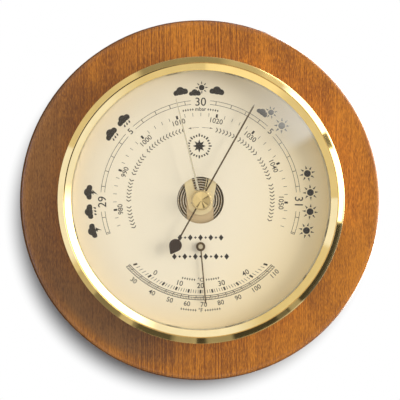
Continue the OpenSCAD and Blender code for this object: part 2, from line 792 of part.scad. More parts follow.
module set_knob() color("gold") on_wall() difference() {
    rotate_extrude() polygon(concat(
        [[0, z_knob], [knob_waist_r, z_knob], [knob_waist_r, z_knob + knob_waist_h]],
        [[knob_r, z_knob + knob_skirt_h]],
        arc([knob_r - knob_round, z_knob_top - knob_round], knob_round, 0, 90, 5),
        [[knob_r - 2 * knob_round, z_knob_top]],
        [[knob_floor_r, z_knob_top - knob_dish], [0, z_knob_top - knob_dish]]
    ));
    disc(set_pin_r + press_gap, z_knob - cut, z_pin_top + run_gap);
}

// Thermometer: a bimetal coil in a bracket on the back of the dial
thermo_arbor_r = 0.7;
thermo_pivot_r = 0.4;
thermo_hub_r = 2.6;
thermo_hub_h = 0.5;
thermo_cap_r = 1.3;
thermo_cap_h = 0.7;
rivet_r = 0.9;
rivet_head_r = 1.5;
rivet_head_h = 0.6;
rivet_cover = 0.2;
leg_x = coil_r + 2.4;
bracket_foot = 4;
rivet_at = leg_x + bracket_t + bracket_foot / 2;
foot_x = leg_x + bracket_t + bracket_foot;
coil_in = 1.7;
coil_gap = 0.5;
z_coil_top = z_dial - coil_gap;
z_coil = z_coil_top - strip_w;
z_bracket_top = z_coil - coil_gap;
z_bracket = z_bracket_top - bracket_t;
bracket_half_w = 3;
echo("bimetal coil, least gap to itself in mm", least_gap(
    spiral(coil_in, coil_r, coil_turns, spiral_steps), spiral_steps, strip_t));

module at_thermo() translate([0, -thermo_drop, 0]) children();
module at_rivets() for (side = [-1, 1]) translate([side * rivet_at, 0, 0]) children();

module thermo_bracket() color("goldenrod") on_wall() at_thermo() difference() {
    rotate([90, 0, 0]) linear_extrude(2 * bracket_half_w, center = true) polygon([
        [-foot_x, z_dial], [-foot_x, z_dial - bracket_t],
        [-leg_x - bracket_t, z_dial - bracket_t], [-leg_x - bracket_t, z_bracket],
        [leg_x + bracket_t, z_bracket], [leg_x + bracket_t, z_dial - bracket_t],
        [foot_x, z_dial - bracket_t], [foot_x, z_dial],
        [leg_x, z_dial], [leg_x, z_bracket_top],
        [-leg_x, z_bracket_top], [-leg_x, z_dial]
    ]);
    disc(thermo_pivot_r + run_gap, z_bracket - cut, z_bracket_top + cut);
    at_rivets() disc(rivet_r + run_gap, z_dial - bracket_t - cut, z_dial + cut);
    translate([coil_stud[0], coil_stud[1], 0])
        disc(stud_pin_r + run_gap, z_bracket - cut, z_bracket_top + cut);
}

module thermo_rivets() color("silver") on_wall() at_thermo() at_rivets() union() {
    disc(rivet_r, z_dial - bracket_t - sink, z_dial_top - rivet_cover);
    disc(rivet_head_r, z_dial - bracket_t - rivet_head_h, z_dial - bracket_t);
}

module bimetal_coil() color("darkkhaki") on_wall() at_thermo() translate([0, 0, z_coil])
    linear_extrude(strip_w) polygon(strip(coil_in, coil_r, coil_turns, spiral_steps, strip_t));

stud_pin_r = 0.6;
coil_stud = [coil_r, stud_pin_r + sink];

module bimetal_stud() color("silver") on_wall() at_thermo()
    translate([coil_stud[0], coil_stud[1], 0]) disc(stud_pin_r, z_bracket, z_coil_top);

module thermo_arbor() color("goldenrod") on_wall() at_thermo() union() {
    disc(thermo_pivot_r, z_bracket, z_bracket_top + 2 * sink);
    disc(coil_in - strip_t / 2 - run_gap, z_bracket_top + sink, z_coil_top);
    disc(thermo_arbor_r, z_coil_top - sink, z_thermo + hand_t + sink);
    disc(thermo_cap_r, z_thermo + hand_t, z_thermo + hand_t + thermo_cap_h);
}

module thermo_hub() color("black") on_wall() at_thermo()
    ring(thermo_hub_r, thermo_arbor_r + press_gap, z_thermo - thermo_hub_h, z_thermo);

thermo_tip = 3;
thermo_barb = 0.2;

module thermo_pointer() color("black") on_wall() at_thermo() clockwise(thermo_at)
    translate([0, 0, z_thermo]) linear_extrude(hand_t) difference() {
        union() {
            circle(thermo_hub_r);
            polygon([
                [-thermo_w / 2, 0], [thermo_w / 2, 0],
                [thermo_w / 2, thermo_len - thermo_tip - thermo_barb],
                [thermo_w / 2 + thermo_barb, thermo_len - thermo_tip],
                [0, thermo_len],
                [-thermo_w / 2 - thermo_barb, thermo_len - thermo_tip],
                [-thermo_w / 2, thermo_len - thermo_tip - thermo_barb]
            ]);
        }
        circle(thermo_arbor_r + press_gap);
    }

wood_base();
case_pan();
case_screws();
bezel();
glass();
spacer_ring();
dial_plate();
movement_base();
base_spacers();
base_screws();
capsule();
capsule_nut();
adjust_bush();
adjusting_screw();
main_spring();
spring_screws();
spring_lever();
lever_link();
capsule_post();
rocker_bracket();
rocker_shaft();
link_chain();
bridge_pillars();
bridge_fork();
bridge_screws();
lower_cock();
cock_posts();
arbor();
drum();
hairspring();
hairspring_collet();
hairspring_stud();
pointer_hub();
pressure_pointer();
set_hand();
set_pin();
set_washers();
set_knob();
thermo_bracket();
thermo_rivets();
bimetal_coil();
bimetal_stud();
thermo_arbor();
thermo_hub();
thermo_pointer();
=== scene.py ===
"""A round wall barometer with a thermometer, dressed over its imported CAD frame.

Metres, in the CAD's own frame: the dial faces -Y, +Z is up and the origin is
the middle of the wooden base's flat back. Sections, outlines and radii are
written in millimetres and become metres where a mesh is made. Angles on the
dial are clock angles, in degrees clockwise from straight up.
"""
import json
import math

import bpy
from mathutils import Matrix, Vector


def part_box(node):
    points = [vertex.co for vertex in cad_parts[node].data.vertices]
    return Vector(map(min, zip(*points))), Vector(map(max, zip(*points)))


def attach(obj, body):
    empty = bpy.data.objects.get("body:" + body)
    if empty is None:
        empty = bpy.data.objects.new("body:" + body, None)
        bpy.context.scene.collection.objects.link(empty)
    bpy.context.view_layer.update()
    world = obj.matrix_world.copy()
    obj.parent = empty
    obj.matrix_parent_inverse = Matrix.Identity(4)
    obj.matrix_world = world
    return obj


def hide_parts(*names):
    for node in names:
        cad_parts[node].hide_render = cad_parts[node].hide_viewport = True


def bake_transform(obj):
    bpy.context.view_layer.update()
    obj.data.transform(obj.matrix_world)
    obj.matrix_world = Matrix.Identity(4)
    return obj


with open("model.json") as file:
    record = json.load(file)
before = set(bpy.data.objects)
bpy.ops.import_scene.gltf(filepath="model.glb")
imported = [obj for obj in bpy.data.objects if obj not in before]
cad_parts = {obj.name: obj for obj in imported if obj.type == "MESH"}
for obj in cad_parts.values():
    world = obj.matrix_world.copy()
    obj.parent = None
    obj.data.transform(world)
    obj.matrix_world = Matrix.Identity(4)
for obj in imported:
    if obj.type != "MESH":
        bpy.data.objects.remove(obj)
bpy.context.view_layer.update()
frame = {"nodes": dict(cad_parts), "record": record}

MM = 0.001
PIXEL = 0.5654              # millimetres to one pixel of the photograph, on the wood
PICTURE = 400               # pixels across the photograph
MERGE = 1e-6                # points closer than this, in metres, are one

# The dial and its hands
DIAL_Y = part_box("dial_plate")[0].y
PRINT_Y = DIAL_Y - 0.03 * MM
INCH_DEGREES = 91.0         # the pressure pointer's turn for one inch of mercury
INCH_TOP = 30.0             # the reading straight up
INCH_END = 110              # clock angle at which the scale ends, on either side
MILLIBARS = 33.8639         # to an inch of mercury
PIVOT = Vector((0, 0, -26.2))       # of the thermometer's hand
ROOM_CELSIUS = 20           # a reading of the thermometer,
ROOM_CLOCK = 180.1          # and where its hand points then
CELSIUS_DEGREES = 2.99      # the hand's turn for one degree Celsius
CELSIUS_ENDS = (-5, 45)

# The wood, the bezel and the capsule, whose finishes follow their profiles
WOOD_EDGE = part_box("wood_base")[1].x / MM
BEZEL_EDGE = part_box("bezel")[1].x / MM
WINDOW = 73.2               # radius of the bezel's opening
RIDGE = 77.5                # radius of the line between the bezel's bevels
RIPPLE_FIRST = 2.8          # radius at which the capsule's corrugations begin
RIPPLE_PITCH = 1.47         # from one corrugation to the next


# Shader kit

class Wire:
    """One output of a node, on which plain arithmetic adds Math nodes."""

    def __init__(self, tree, socket):
        self.tree = tree
        self.socket = socket

    def math(self, operation, *others):
        return self.tree.add("ShaderNodeMath", {"operation": operation},
                             dict(enumerate((self, *others))))

    def __add__(self, other):
        return self.math("ADD", other)

    def __radd__(self, other):
        return self + other

    def __sub__(self, other):
        return self.math("SUBTRACT", other)

    def __rsub__(self, other):
        return (self * -1) + other

    def __mul__(self, other):
        return self.math("MULTIPLY", other)

    def __rmul__(self, other):
        return self * other

    def __pow__(self, other):
        return self.math("POWER", other)

    def __neg__(self):
        return self * -1

    def ramp(self, low, high):
        """0 below low and 1 above high, smooth between them."""
        return self.tree.add("ShaderNodeMapRange", {"interpolation_type": "SMOOTHSTEP"},
                             {"Value": self, "From Min": low, "From Max": high})

    def between(self, low, high, soft):
        """1 from low to high, fading to 0 over soft on either side."""
        return self.ramp(low - soft, low) * (1 - self.ramp(high, high + soft))

    def beside(self, name):
        """Another output of the same node."""
        return Wire(self.tree, self.socket.node.outputs[name])


class Tree:
    """The nodes of one material, or of the world."""

    def __init__(self, owner):
        owner.use_nodes = True
        self.nodes = owner.node_tree.nodes
        self.links = owner.node_tree.links
        self.nodes.clear()

    def add(self, kind, settings=None, inputs=None, out=0):
        """Adds a node: its settings first, then the values or links of its inputs."""
        node = self.nodes.new(kind)
        for name, value in (settings or {}).items():
            setattr(node, name, value)
        for name, value in (inputs or {}).items():
            target = node.inputs[name] if isinstance(name, int) else next(
                s for s in node.inputs if name in (s.identifier, s.name) and s.enabled)
            if isinstance(value, Wire):
                self.links.new(value.socket, target)
            else:
                target.default_value = value
        return Wire(self, node.outputs[out]) if node.outputs else node

    def mix(self, share, first, second):
        """Blends two colours."""
        return self.add("ShaderNodeMix", {"data_type": "RGBA"},
                        {"Factor_Float": share, "A_Color": first, "B_Color": second}, 2)

    def place(self, scale=(1, 1, 1), shift=(0, 0, 0)):
        """Object coordinates in millimetres, stretched or shifted."""
        coordinates = self.add("ShaderNodeTexCoord", out="Object")
        return self.add("ShaderNodeMapping", {}, {
            "Vector": coordinates, "Scale": [s / MM for s in scale], "Location": shift})

    def noise(self, vector, scale, detail, rough, twist=0.0):
        return self.add("ShaderNodeTexNoise", {}, {
            "Vector": vector, "Scale": scale, "Detail": detail,
            "Roughness": rough, "Distortion": twist})

    def noise_along(self, along, detail):
        """Noise in one direction only, so that it draws straight lines across it."""
        return self.add("ShaderNodeTexNoise", {"noise_dimensions": "1D"},
                        {"W": along, "Scale": 1.0, "Detail": detail})

    def parts(self, vector):
        """The x, y and z of a vector."""
        x = self.add("ShaderNodeSeparateXYZ", {}, {"Vector": vector})
        return x, x.beside("Y"), x.beside("Z")

    def radius(self, centre_x=0.0, centre_z=0.0):
        """Distance from an axis that runs along Y, in millimetres."""
        x, _, z = self.parts(self.place())
        x, z = x - centre_x, z - centre_z
        return (x * x + z * z) ** 0.5

    def clock(self):
        """The clock angle round the dial's middle, in degrees."""
        x, _, z = self.parts(self.place())
        return x.math("ARCTAN2", z) * (180 / math.pi)

    def bump(self, height, distance, strength):
        return self.add("ShaderNodeBump", {}, {
            "Height": height, "Distance": distance * MM, "Strength": strength})

    def surface(self, **sockets):
        """Ends a material in a Principled BSDF; an underscore stands for a space."""
        self.output(self.add("ShaderNodeBsdfPrincipled", {}, {
            name.replace("_", " "): value for name, value in sockets.items()}))

    def output(self, shader):
        self.add("ShaderNodeOutputMaterial", {}, {"Surface": shader})


def colour(red, green, blue):
    """A colour picked as 0 to 255 on screen, in the renderer's linear values."""
    def linear(v):
        v = v / 255
        return v / 12.92 if v < 0.04045 else ((v + 0.055) / 1.055) ** 2.4
    return (linear(red), linear(green), linear(blue), 1.0)


def material(name):
    made = bpy.data.materials.new(name)
    return made, Tree(made)


# Materials

def wood_grain(t):
    """Straight grain along Z: its lightness from about 0 to 1, its fibres, fleck and pores."""
    fibres = t.noise(t.place((1.6, 1.6, 0.13)), 1.0, 2.0, 0.55, 0.1)
    fleck = t.noise(t.place((3.6, 3.6, 0.45)), 1.0, 2.0, 0.6)
    figure = t.noise(t.place((0.05, 0.05, 0.02)), 1.0, 3.0, 0.5, 0.4)
    sway = t.noise(t.place((0.02, 0.02, 0.012), shift=(3, 9, 4)), 1.0, 1.0, 0.5)
    x, _, _ = t.parts(t.place())
    across = x + sway * 5.0
    # The growth shows most in a band a little left of the middle.
    heart = 1 - ((x + 8.0) * 0.035).math("ABSOLUTE").ramp(0.3, 1.6)
    growth = t.noise_along(across * 1.15, 1.0)
    lines = t.noise_along(across * 0.33 + 40.0, 3.0).ramp(0.60, 0.74)
    pores = t.noise(t.place((1.9, 1.9, 0.26), shift=(7, 3, 1)), 1.0, 1.0, 0.5).ramp(0.62, 0.72)
    tone = ((fibres - 0.5) * (heart * 0.9 + 1.0) + (fleck - 0.5) * 3.0
            + (growth - 0.5) * (heart * 1.6 + 0.8)
            + (figure - 0.5) * 1.6 - lines * 0.10 + 0.5)
    return tone, fibres, fleck, pores


def lacquered_wood():
    """Orange-brown wood under satin lacquer, with painted shade at the far left and at the rounded
    rim, and a painted bezel shadow at the lower left.
    """
    made, t = material("lacquered_wood")
    tone, fibres, fleck, pores = wood_grain(t)
    x, _, _ = t.parts(t.place())
    radius = t.radius()
    # Painted shade: the far left is darkened and greyed as if it lay in shade.
    painted_shade_far_left = (-x).ramp(58, 92)
    # Painted shadow: a soft dark band next to the bezel at the lower left, standing in for the
    # bezel's shadow.
    painted_bezel_shadow = ((1 - (t.clock() + 141).math("ABSOLUTE").ramp(8, 42))
                  * (1 - t.radius(-9, -10.5).ramp(79, 89)))
    body = t.mix(tone.ramp(-0.2, 1.2), (0.215, 0.060, 0.003, 1), (0.60, 0.212, 0.012, 1))
    body = t.mix(pores * 0.22, body, (0.19, 0.055, 0.005, 1))
    painted_shade_far_left_tone = t.mix(tone, (0.145, 0.060, 0.020, 1), (0.29, 0.140, 0.046, 1))
    body = t.mix(painted_shade_far_left * 0.65, body, painted_shade_far_left_tone)
    painted_bezel_shadow_tone = t.mix(tone, (0.10, 0.045, 0.018, 1), (0.20, 0.10, 0.036, 1))
    body = t.mix(painted_bezel_shadow * 0.8, body, painted_bezel_shadow_tone)
    # Painted shade: the rounded edge is darkened all round, as if turned away from the light.
    turn = radius.ramp(WOOD_EDGE - 1.2, WOOD_EDGE - 0.3)
    body = t.mix(turn * 0.55, body, (0.09, 0.035, 0.010, 1))
    rim = radius.ramp(WOOD_EDGE - 3.6, WOOD_EDGE - 2.0)
    flank = radius.ramp(WOOD_EDGE - 0.3, WOOD_EDGE - 0.05)
    t.surface(Base_Color=body, Roughness=0.50 + (fleck - 0.5) * 0.16,
              Specular_IOR_Level=0.1, Coat_Roughness=0.12,
              Coat_Weight=(rim * 0.4 + 0.6) * (1 - flank * 0.93),
              Normal=t.bump(fibres * 0.6 - pores * 0.5, 0.04, 0.3))
    return made


def clouded(t, scale, dull, clean):
    """Faint clouds on metal, and the colour that they give between a duller and a cleaner one."""
    cloud = t.noise(t.place(), scale, 3.0, 0.6)
    return cloud, t.mix(cloud.ramp(0.3, 0.7), dull, clean)


def darker(tone, share):
    return [channel * share for channel in tone[:3]] + [1]


def lathe_marks(t, strength):
    """The fine rings that turning leaves round the dial's axis."""
    return t.bump(t.noise_along(t.radius() * 4.0, 3.0), 0.01, strength)


def brass(name, base, roughness, wear, brushed=0.0):
    """Brass or bronze with faint clouding, and a brushed grain where it has one."""
    made, t = material(name)
    cloud, body = clouded(t, 0.12, darker(base, 0.94), base)
    grain = t.noise(t.place((0.3, 0.3, 9.0)), 1.0, 2.0, 0.6)
    rough = (cloud - 0.5) * wear + (grain - 0.5) * brushed + roughness
    t.surface(Base_Color=body, Roughness=rough, Metallic=1.0)
    return made


def bezel_brass():
    """Polished brass, with painted dark reflections in its line at the upper left and at its foot at
    the lower right.
    """
    made, t = material("polished_brass")
    clock, radius = t.clock(), t.radius()
    # Painted dark reflection: the line between the bevels is darkened at the upper left only.
    painted_line_reflection = (radius.between(RIDGE - 0.52, RIDGE - 0.08, 0.08)
            * clock.ramp(-98, -80) * (1 - clock.ramp(-25, 5)))
    # Painted dark reflection: the foot is darkened at the lower right only.
    foot = (radius.ramp(BEZEL_EDGE - 1.0, BEZEL_EDGE - 0.7)
            * clock.ramp(97, 101) * (1 - clock.ramp(132, 136)))
    cloud, body = clouded(t, 0.12, (0.78, 0.565, 0.21, 1), (0.83, 0.60, 0.225, 1))
    body = t.mix(painted_line_reflection * 0.9, body, (0.10, 0.05, 0.01, 1))
    body = t.mix(foot * 0.85, body, (0.08, 0.055, 0.02, 1))
    t.surface(Base_Color=body, Roughness=0.06 + (cloud - 0.5) * 0.03, Metallic=1.0,
              Normal=lathe_marks(t, 0.06))
    return made


def knob_brass():
    """The set knob's brass: bright turned face, duller round the rolled rim."""
    made, t = material("knob_brass")
    rim = t.radius().ramp(4.55, 4.85)
    _, body = clouded(t, 0.12, (0.76, 0.56, 0.25, 1), (0.80, 0.595, 0.27, 1))
    body = t.mix(rim * 0.6, body, (0.44, 0.34, 0.18, 1))
    t.surface(Base_Color=body, Roughness=rim * 0.26 + 0.12, Metallic=1.0,
              Normal=lathe_marks(t, 0.10))
    return made


def ripple_metal():
    """The capsule's nickel silver, with tarnish left in the troughs between its corrugations."""
    made, t = material("nickel_silver")
    step = ((t.radius() - RIPPLE_FIRST) * (1 / RIPPLE_PITCH)).math("FRACT")
    trough = 1 - step.ramp(0.20, 0.32) * (1 - step.ramp(0.68, 0.80))
    _, body = clouded(t, 0.3, (0.64, 0.555, 0.42, 1), (0.76, 0.66, 0.50, 1))
    body = t.mix(trough * 0.85, body, (0.47, 0.36, 0.16, 1))
    t.surface(Base_Color=body, Roughness=trough * 0.30 + 0.24, Metallic=1.0)
    return made


def white_metal(name, base, roughness):
    """Steel or plated sheet, with fine drawn marks."""
    made, t = material(name)
    cloud, body = clouded(t, 0.3, darker(base, 0.85), base)
    marks = t.noise(t.place((6.0, 6.0, 0.4)), 1.0, 2.0, 0.6)
    rough = (cloud - 0.5) * 0.1 + (marks - 0.5) * 0.12 + roughness
    t.surface(Base_Color=body, Roughness=rough, Metallic=1.0)
    return made


def dial_enamel():
    """Cream enamel, deeper at the edge, with painted warm bounce light to the right, and the
    faintest orange peel.
    """
    made, t = material("dial_enamel")
    cloud = t.noise(t.place(), 0.035, 2.0, 0.5)
    edge, painted_warm_bounce = t.radius().ramp(48, 72), t.radius(-60, 25).ramp(70, 160)
    body = t.mix(edge + (cloud - 0.5) * 0.3, colour(246, 236, 211), colour(234, 222, 196))
    # Painted light: a warm golden tint towards the right stands in for light bounced off the brass
    # into the bezel's shade.
    body = t.mix(painted_warm_bounce, body, colour(255, 232, 178))
    peel = t.noise(t.place(), 0.9, 2.0, 0.5)
    t.surface(Base_Color=body, Roughness=0.52 + (cloud - 0.5) * 0.1,
              Normal=t.bump(peel, 0.01, 0.25))
    return made


def black_enamel():
    """The hands' worn enamel, brownish where it is thin, and blacker on the pointer's disc."""
    made, t = material("black_enamel")
    dust = t.noise(t.place(), 1.4, 3.0, 0.6)
    disc = 1 - t.radius(-14.0, -25.5).ramp(6.0, 7.5)
    body = t.mix(dust.ramp(0.45, 0.8), colour(84, 66, 38), colour(108, 88, 56))
    body = t.mix(disc, body, colour(58, 44, 32))
    t.surface(Base_Color=body, Roughness=0.36 + (dust - 0.5) * 0.2, Specular_IOR_Level=0.3,
              Normal=t.bump(dust, 0.004, 0.3))
    return made


def printing_ink():
    """Dark brown-black ink, laid a little unevenly."""
    made, t = material("printing_ink")
    lay = t.noise(t.place(), 2.2, 2.0, 0.6)
    body = t.mix(lay, colour(26, 20, 12), colour(50, 41, 26))
    t.surface(Base_Color=body, Roughness=0.55 + (lay - 0.5) * 0.1)
    return made


def gilt_spacer():
    """The spacer's pale gilt inner side."""
    made, t = material("gilt_spacer")
    cloud = t.noise(t.place(), 0.4, 2.0, 0.5)
    body = t.mix(cloud, colour(222, 206, 162), colour(235, 220, 178))
    t.surface(Base_Color=body, Roughness=0.42 + (cloud - 0.5) * 0.1, Metallic=0.15)
    return made


def white_plastic():
    made, t = material("white_plastic")
    cloud = t.noise(t.place(), 0.5, 2.0, 0.5)
    body = t.mix(cloud, colour(222, 218, 206), colour(238, 235, 226))
    t.surface(Base_Color=body, Roughness=0.5 + (cloud - 0.5) * 0.1)
    return made


def clear_glass():
    """Flat window glass, glossier at grazing angles, with a painted pale reflection at the upper
    right.
    """
    made, t = material("clear_glass")
    fresnel = t.add("ShaderNodeFresnel", {}, {"IOR": 1.5})
    inside = t.add("ShaderNodeNewGeometry", out="Backfacing")
    smear = t.noise(t.place(), 0.03, 3.0, 0.6)
    clock = t.clock()
    # Painted reflection: more of the gloss shows in a pale patch at the upper right.
    painted_reflection_patch = (clock.ramp(10, 55) * (1 - clock.ramp(57, 63))
             * (t.radius() + (smear - 0.5) * 8).ramp(48, 72))
    gloss = t.add("ShaderNodeBsdfPrincipled", {}, {
        "Base Color": (0.96, 0.93, 0.84, 1), "Roughness": 0.02 + smear * 0.03,
        "Metallic": 1.0})
    clear = t.add("ShaderNodeBsdfTransparent")
    share = (fresnel * 0.6 + painted_reflection_patch * 0.50) * (1 - inside)
    t.output(t.add("ShaderNodeMixShader", {}, {0: share, 1: clear, 2: gloss}))
    return made


FINISHES = {
    "wood": lacquered_wood(),
    "polished_brass": bezel_brass(),
    "satin_brass": brass("satin_brass", (0.91, 0.745, 0.42, 1), 0.34, 0.08, brushed=0.10),
    "gilt_spacer": gilt_spacer(),
    "knob_brass": knob_brass(),
    "bronze": brass("bronze", (0.82, 0.61, 0.34, 1), 0.36, 0.10, brushed=0.14),
    "bimetal": brass("bimetal", (0.62, 0.52, 0.34, 1), 0.34, 0.10, brushed=0.14),
    "pale_brass": brass("pale_brass", (0.69, 0.61, 0.43, 1), 0.24, 0.05),
    "nickel_silver": ripple_metal(),
    "steel": white_metal("steel", (0.56, 0.55, 0.53, 1), 0.28),
    "case_sheet": white_metal("case_sheet", (0.55, 0.50, 0.40, 1), 0.36),
    "dial_cream": dial_enamel(),
    "black_enamel": black_enamel(),
    "white_plastic": white_plastic(),
    "glass": clear_glass(),
    "ink": printing_ink(),
}
CAD_SLOTS = {part["node"]: part["material_slot"] for part in frame["record"]["subparts"]}
OWN_FINISHES = {"spacer_ring": "gilt_spacer", "spring_lever": "bronze",
                "thermo_arbor": "bimetal", "link_chain": "satin_brass"}


def dress_cad_nodes():
    for name, node in frame["nodes"].items():
        finish = FINISHES[OWN_FINISHES.get(name, CAD_SLOTS[name])]
        if not node.data.materials:
            node.data.materials.append(finish)
        for slot in node.material_slots:
            slot.material = finish


# Modelling kit

STAND_UP = Matrix.Rotation(math.pi / 2, 4, "X")     # from lying flat to facing -Y


def deselect():
    if bpy.context.object and bpy.context.object.mode != "OBJECT":
        bpy.ops.object.mode_set(mode="OBJECT")
    bpy.ops.object.select_all(action="DESELECT")


def pick(piece):
    deselect()
    piece.select_set(True)
    bpy.context.view_layer.objects.active = piece


def edit_all(*steps):
    """Edits the active mesh; a step is an operator, run on all of it, and its settings."""
    bpy.ops.object.mode_set(mode="EDIT")
    for operator, settings in steps:
        bpy.ops.mesh.select_all(action="SELECT")
        operator(**settings)
    bpy.ops.object.mode_set(mode="OBJECT")


def finish_piece(piece, name, finish, body, smooth=None):
    """Names a piece, gives it its material and seats it on its body."""
    piece.name = name
    piece.data.name = name
    piece.data.materials.clear()
    piece.data.materials.append(FINISHES[finish])
    pick(piece)
    if smooth:
        bpy.ops.object.shade_smooth_by_angle(angle=math.radians(smooth))
    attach(piece, body)


def finish_print(piece, name):
    """Finishes a piece of print on the dial."""
    finish_piece(piece, name, "ink", "case")


def outline(points, fill="NOTHING"):
    """A new mesh with its corners at the points, which are in metres."""
    deselect()
    bpy.ops.mesh.primitive_circle_add(vertices=len(points), radius=1, fill_type=fill)
    piece = bpy.context.object
    for vertex, point in zip(piece.data.vertices, points):
        vertex.co = point
    return piece


def face_viewer(piece):
    """Turns a flat piece's front towards -Y."""
    if piece.data.polygons[0].normal.y > 0:
        edit_all((bpy.ops.mesh.flip_normals, {}))
    return piece


def turned(section, steps):
    """A piece turned about the dial's axis from the closed outline of its half section.

    The outline's points are (radius, height from the wall)."""
    piece = outline([(r * MM, -h * MM, 0) for r, h in section])
    edit_all((bpy.ops.mesh.spin, {"steps": steps, "angle": 2 * math.pi,
                                  "center": (0, 0, 0), "axis": (0, 1, 0)}),
             (bpy.ops.mesh.remove_doubles, {"threshold": MERGE}),
             (bpy.ops.mesh.dissolve_degenerate, {"threshold": MERGE / 10}),
             (bpy.ops.mesh.normals_make_consistent, {"inside": False}))
    return piece


def arc(centre, radius, start, end, steps):
    """Points on an arc of a section; angles in degrees from outwards towards the viewer."""
    angles = [math.radians(start + (end - start) * i / steps) for i in range(steps + 1)]
    return [(centre[0] + radius * math.cos(a), centre[1] + radius * math.sin(a)) for a in angles]


def join(pieces):
    deselect()
    for piece in pieces:
        piece.select_set(True)
    bpy.context.view_layer.objects.active = pieces[0]
    bpy.ops.object.join()
    return bpy.context.object


def copies(pattern, places):
    """Copies of a modelled piece, each with its own mesh, joined at their places."""
    made = []
    for place in places:
        copy = pattern.copy()
        copy.data = pattern.data.copy()
        copy.data.transform(place)
        bpy.context.scene.collection.objects.link(copy)
        made.append(copy)
    bpy.data.objects.remove(pattern)
    return join(made)


def sheet(points):
    """A flat outline, filled, facing the viewer; points are (right, up)."""
    piece = outline([(x * MM, 0, z * MM) for x, z in points], "NGON")
    edit_all((bpy.ops.mesh.quads_convert_to_tris, {"ngon_method": "BEAUTY"}))
    return face_viewer(piece)


# Printing kit

def pixels(count):
    """A length read off the photograph, in millimetres."""
    return count * PIXEL


def at_clock(clock, radius):
    """A point (right, up) at a clock angle and a radius round the dial's middle."""
    turn = math.radians(clock)
    return radius * math.sin(turn), radius * math.cos(turn)


def on_dial(clock, radius, upright=False):
    """The place on the dial at a clock angle and a radius.

    What is put there has its top outwards, or inwards where it is upright at the bottom."""
    if upright:
        clock, radius = clock - 180, -radius
    return (Matrix.Translation((0, PRINT_Y, 0))
            @ Matrix.Rotation(math.radians(clock), 4, "Y")
            @ Matrix.Translation((0, 0, radius * MM)))


def strokes(lines):
    """Straight printed strokes: (start, end, width), with points (right, up)."""
    stroke = sheet([(-0.5, -0.5), (0.5, -0.5), (0.5, 0.5), (-0.5, 0.5)])
    places = []
    for (x0, z0), (x1, z1), width in lines:
        length = math.hypot(x1 - x0, z1 - z0)
        places.append(
            Matrix.Translation(((x0 + x1) / 2 * MM, PRINT_Y, (z0 + z1) / 2 * MM))
            @ Matrix.Rotation(math.atan2(x1 - x0, z1 - z0), 4, "Y")
            @ Matrix.Diagonal((width, 1, length, 1)))
    return copies(stroke, places)


def printed_arc(radius, width, start, end):
    """A printed line along an arc: a triangle loses its third corner, and its edge is spun."""
    corners = [at_clock(start, radius + side * width / 2) for side in (-1, 1, 0)]
    piece = outline([(x * MM, PRINT_Y, z * MM) for x, z in corners])
    bpy.ops.object.mode_set(mode="EDIT")
    bpy.ops.mesh.select_all(action="DESELECT")
    bpy.ops.object.mode_set(mode="OBJECT")
    piece.data.vertices[2].select = True
    bpy.ops.object.mode_set(mode="EDIT")
    bpy.ops.mesh.delete(type="VERT")
    steps = max(8, round(abs(end - start) / 1.5))
    edit_all((bpy.ops.mesh.spin, {"steps": steps, "angle": math.radians(start - end),
                                  "center": (0, PRINT_Y, 0), "axis": (0, 1, 0)}))
    return face_viewer(piece)


def numeral(text, height, place, bold):
    """A printed number, its figures a given height, its strokes grown by bold on each side."""
    figure_share = 0.70     # of the font's size that its figures are tall
    deselect()
    bpy.ops.object.text_add()
    piece = bpy.context.object
    piece.data.body = text
    piece.data.align_x = "CENTER"
    piece.data.align_y = "CENTER"
    piece.data.size = height / figure_share * MM
    piece.data.offset = bold * MM
    piece.data.resolution_u = 4
    bpy.ops.object.convert(target="MESH")
    piece = bpy.context.object
    piece.data.transform(place @ STAND_UP)
    return piece


# The pressure scales

INCH_RING = pixels(96), pixels(99.7)
INCH_NUMBERS = pixels(97.8)
MILLIBAR_RING = pixels(83.8), pixels(87.3)
MILLIBAR_NUMBERS = pixels(80.3)


def inch_clock(inches):
    return (inches - INCH_TOP) * INCH_DEGREES


def millibar_clock(millibars):
    return inch_clock(millibars / MILLIBARS)


def print_inch_scale():
    """The double line with a stroke at each tenth of an inch, open at its numbers."""
    low, high = INCH_RING
    line, stroke = 0.24, 0.3
    wide, narrow = 5.6, 3.1     # half of each opening, in degrees
    gaps = [(half * INCH_DEGREES / 2, narrow if half % 2 else wide) for half in range(-2, 3)]
    edges = [edge for at, half in gaps for edge in (at - half, at + half)]
    edges = [-INCH_END] + edges + [INCH_END]
    runs = list(zip(edges[::2], edges[1::2]))
    pieces = [printed_arc(r, line, start, end) for r in (low, high) for start, end in runs]
    ticks = []
    for tenth in range(-12, 13):
        clock = tenth * INCH_DEGREES / 10
        if all(abs(clock - at) >= half for at, half in gaps):
            ticks.append((at_clock(clock, low), at_clock(clock, high), stroke))
    for clock in (-INCH_END, INCH_END):
        ticks.append((at_clock(clock, low - line / 2), at_clock(clock, high + line / 2), stroke))
    pieces.append(strokes(ticks))
    finish_print(join(pieces), "inch_scale")


def print_inch_numbers():
    numbers = [numeral(str(inches), 4.6, on_dial(inch_clock(inches), INCH_NUMBERS), 0.03)
               for inches in (29, 30, 31)]
    numbers += [numeral("5", 3.4, on_dial(side * INCH_DEGREES / 2, INCH_NUMBERS), 0.04)
                for side in (-1, 1)]
    finish_print(join(numbers), "inch_numbers")


def print_millibar_scale():
    low, high = MILLIBAR_RING
    thin, heavy = 0.24, 1.1
    ticks = []
    for millibars in range(976, 1057, 2):
        clock = millibar_clock(millibars)
        width = thin if millibars % 10 else heavy
        ticks.append((at_clock(clock, low), at_clock(clock, high), width))
    finish_print(strokes(ticks), "millibar_scale")


def print_millibar_numbers():
    numbers = [numeral(str(millibars), 2.8,
                       on_dial(millibar_clock(millibars), MILLIBAR_NUMBERS), 0.02)
               for millibars in range(980, 1051, 10)]
    finish_print(join(numbers), "millibar_numbers")


